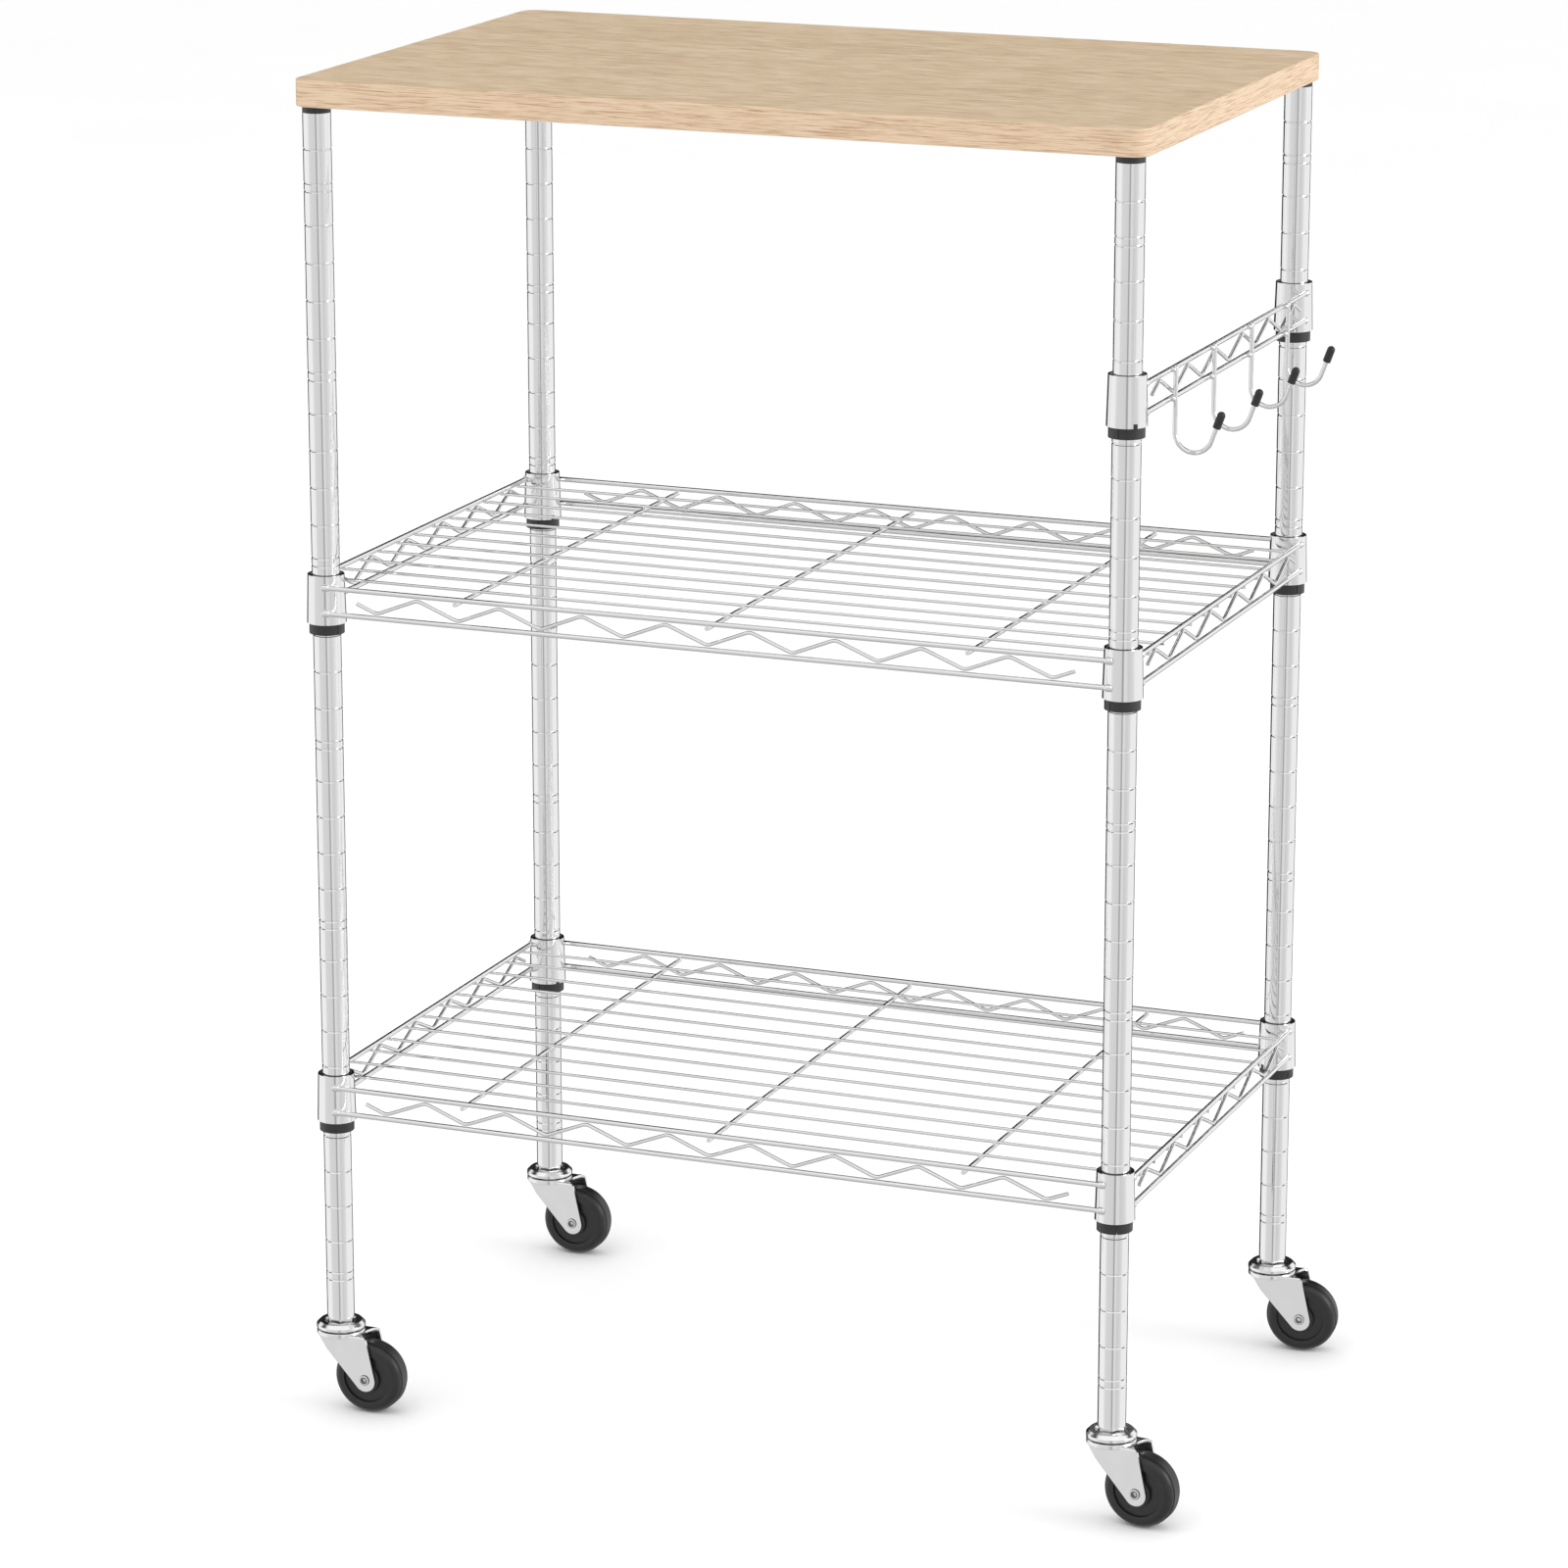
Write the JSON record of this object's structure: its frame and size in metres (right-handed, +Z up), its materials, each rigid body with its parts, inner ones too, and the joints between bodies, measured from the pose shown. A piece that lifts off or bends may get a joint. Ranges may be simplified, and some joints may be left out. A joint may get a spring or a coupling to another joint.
{
  "type": "wire shelf cart",
  "caption": "Rolling wire shelf cart with a wood worktop, grooved chrome posts, two wire shelves on split sleeves, a side rail with hooks and swivel casters.",
  "frame": {"origin": "on the floor under the middle of the whole cart's outline, casters at the stored angles", "axes": "+X to the side with the hook rail, +Y from the front to the back, +Z up"},
  "size_m": [0.6323, 0.3912, 0.9316],
  "materials": {
    "chrome": "bright chrome plating over drawn steel tube and wire",
    "zinc_steel": "bright zinc plating over pressed steel, satin",
    "oak_laminate": "pale oak-grained laminate over board, satin",
    "black_plastic": "moulded black plastic, fine matte grain",
    "black_rubber": "soft black dipped rubber",
    "wheel_rubber": "moulded hard grey-black rubber, soft sheen"
  },
  "bodies": {
    "cart": {"bearing_balls": "zinc_steel", "caster_bl_bearing_cap": "zinc_steel", "caster_bl_stem": "zinc_steel", "caster_br_bearing_cap": "zinc_steel", "caster_br_stem": "zinc_steel", "caster_fl_bearing_cap": "zinc_steel", "caster_fl_stem": "zinc_steel", "caster_fr_bearing_cap": "zinc_steel", "caster_fr_stem": "zinc_steel", "hook_1": "chrome", "hook_2": "chrome", "hook_3": "chrome", "hook_4": "chrome", "hook_caps": "black_rubber", "hook_collar_br": "chrome", "hook_collar_fr": "chrome", "hook_rail": "chrome", "hook_split_sleeves": "black_plastic", "low_back_rail": "chrome", "low_collar_bl": "chrome", "low_collar_br": "chrome", "low_collar_fl": "chrome", "low_collar_fr": "chrome", "low_cross_wires": "chrome", "low_deck_wires": "chrome", "low_front_rail": "chrome", "low_left_rail": "chrome", "low_right_rail": "chrome", "low_split_sleeves": "black_plastic", "mid_back_rail": "chrome", "mid_collar_bl": "chrome", "mid_collar_br": "chrome", "mid_collar_fl": "chrome", "mid_collar_fr": "chrome", "mid_cross_wires": "chrome", "mid_deck_wires": "chrome", "mid_front_rail": "chrome", "mid_left_rail": "chrome", "mid_right_rail": "chrome", "mid_split_sleeves": "black_plastic", "post_bl": "chrome", "post_br": "chrome", "post_caps": "black_plastic", "post_fl": "chrome", "post_foot_inserts": "zinc_steel", "post_fr": "chrome", "top_board": "oak_laminate"},
    "caster_fl_swivel": {"caster_fl_fork": "zinc_steel", "caster_fl_axle": "zinc_steel"},
    "caster_fl_roller": {"caster_fl_wheel": "wheel_rubber"},
    "caster_fr_swivel": {"caster_fr_fork": "zinc_steel", "caster_fr_axle": "zinc_steel"},
    "caster_fr_roller": {"caster_fr_wheel": "wheel_rubber"},
    "caster_bl_swivel": {"caster_bl_fork": "zinc_steel", "caster_bl_axle": "zinc_steel"},
    "caster_bl_roller": {"caster_bl_wheel": "wheel_rubber"},
    "caster_br_swivel": {"caster_br_fork": "zinc_steel", "caster_br_axle": "zinc_steel"},
    "caster_br_roller": {"caster_br_wheel": "wheel_rubber"}
  },
  "joints": [
    {"name": "caster_fl_turn", "type": "hinge", "parent": "cart", "child": "caster_fl_swivel", "pos_m": [-0.2991, -0.17865, 0.0565], "axis": [0, 0, 1], "continuous": true},
    {"name": "caster_fl_roll", "type": "hinge", "parent": "caster_fl_swivel", "child": "caster_fl_roller", "pos_m": [-0.2761, -0.17865, 0.0254], "axis": [0, 1, 0], "continuous": true},
    {"name": "caster_fr_turn", "type": "hinge", "parent": "cart", "child": "caster_fr_swivel", "pos_m": [0.2677, -0.17865, 0.0565], "axis": [0, 0, 1], "continuous": true},
    {"name": "caster_fr_roll", "type": "hinge", "parent": "caster_fr_swivel", "child": "caster_fr_roller", "pos_m": [0.29057, -0.18105, 0.0254], "axis": [0.1045, 0.9945, 0], "continuous": true},
    {"name": "caster_bl_turn", "type": "hinge", "parent": "cart", "child": "caster_bl_swivel", "pos_m": [-0.2991, 0.17865, 0.0565], "axis": [0, 0, 1], "continuous": true},
    {"name": "caster_bl_roll", "type": "hinge", "parent": "caster_bl_swivel", "child": "caster_bl_roller", "pos_m": [-0.2761, 0.17865, 0.0254], "axis": [0, 1, 0], "continuous": true},
    {"name": "caster_br_turn", "type": "hinge", "parent": "cart", "child": "caster_br_swivel", "pos_m": [0.2677, 0.17865, 0.0565], "axis": [0, 0, 1], "continuous": true},
    {"name": "caster_br_roll", "type": "hinge", "parent": "caster_br_swivel", "child": "caster_br_roller", "pos_m": [0.29061, 0.18066, 0.0254], "axis": [-0.0872, 0.9962, 0], "continuous": true}
  ]
}
